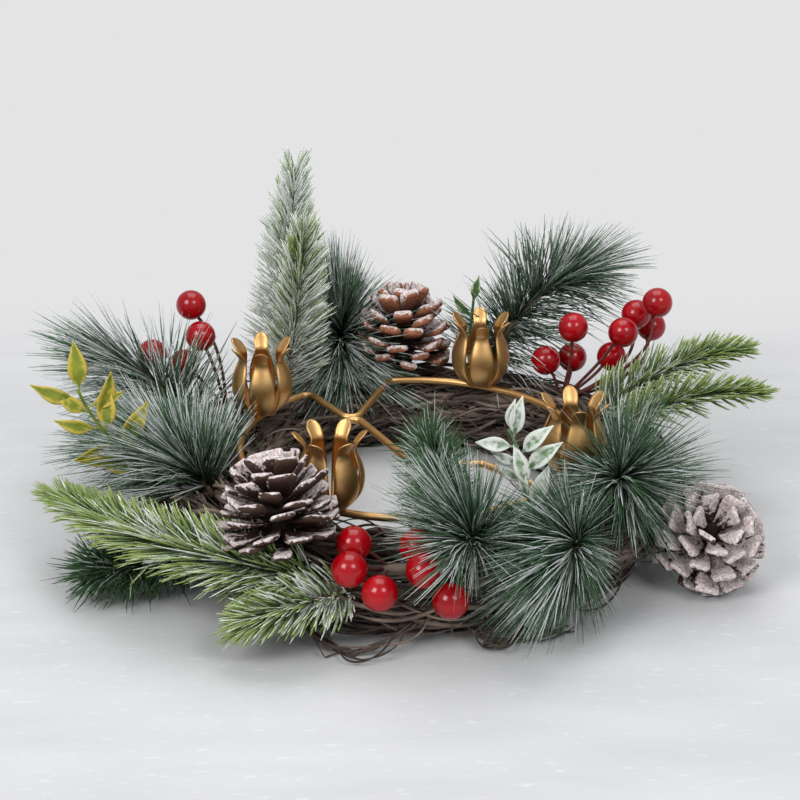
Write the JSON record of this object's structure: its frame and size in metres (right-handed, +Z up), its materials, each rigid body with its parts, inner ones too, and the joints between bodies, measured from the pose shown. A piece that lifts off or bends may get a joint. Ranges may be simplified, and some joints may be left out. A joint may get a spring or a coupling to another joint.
{
  "type": "candle ring",
  "caption": "Table candle ring: gold tulip candle cups on a bent wire frame over a wound vine ring dressed with artificial fir, pine, leaves, pinecones and red berries.",
  "frame": {"origin": "on the table, under the middle of the ring and of the cups' circle", "axes": "+Z up, +X to the right as seen in the picture, +Y away from the viewer"},
  "size_m": [0.3936, 0.3331, 0.1716],
  "materials": {
    "vine": "rough dark bark",
    "gold": "satin antique gold",
    "binding_wire": "matt green-brown lacquer",
    "pinecone": "dry scales with white frost on their edges",
    "berry": "glossy red lacquer",
    "fir": "moulded, yellow-green tips",
    "pine_tuft": "blue-green with white frost",
    "tinsel": "cut film, lightly frosted",
    "leaf_yellow": "printed cloth, yellow-green",
    "leaf_frosted": "cloth with white frost",
    "leaf_green": "printed cloth, green"
  },
  "bodies": {
    "root": {"base_vine": "vine", "berries_front_left": "berry", "berries_front_left_stems": "binding_wire", "berries_front_right": "berry", "berries_front_right_stems": "binding_wire", "berries_left": "berry", "berries_left_stems": "binding_wire", "berries_right": "berry", "berries_right_stems": "binding_wire", "candle_cup_1": "gold", "candle_cup_2": "gold", "candle_cup_3": "gold", "candle_cup_4": "gold", "fir_back_short": "fir", "fir_back_tall": "fir", "fir_front_small": "fir", "fir_left_long": "fir", "fir_right_lower": "fir", "fir_right_upper": "fir", "frame_brace": "gold", "frame_ring": "gold", "leaf_sprig_back": "leaf_green", "leaf_sprig_centre": "leaf_frosted", "leaf_sprig_left": "leaf_yellow", "loose_twig_1": "vine", "loose_twig_2": "vine", "pinecone_back": "pinecone", "pinecone_back_pick": "binding_wire", "pinecone_front": "pinecone", "pinecone_front_pick": "binding_wire", "pinecone_right": "pinecone", "pinecone_right_pick": "binding_wire", "tie_wire_1": "binding_wire", "tie_wire_2": "binding_wire", "tie_wire_3": "binding_wire", "tie_wire_4": "binding_wire", "tinsel_centre": "tinsel", "tinsel_left": "tinsel", "tuft_back_centre": "pine_tuft", "tuft_back_right": "pine_tuft", "tuft_front_centre": "pine_tuft", "tuft_front_right": "pine_tuft", "tuft_left_back": "pine_tuft", "tuft_left_mid": "pine_tuft", "tuft_right": "pine_tuft", "vine_1": "vine", "vine_2": "vine", "vine_3": "vine"}
  },
  "joints": []
}
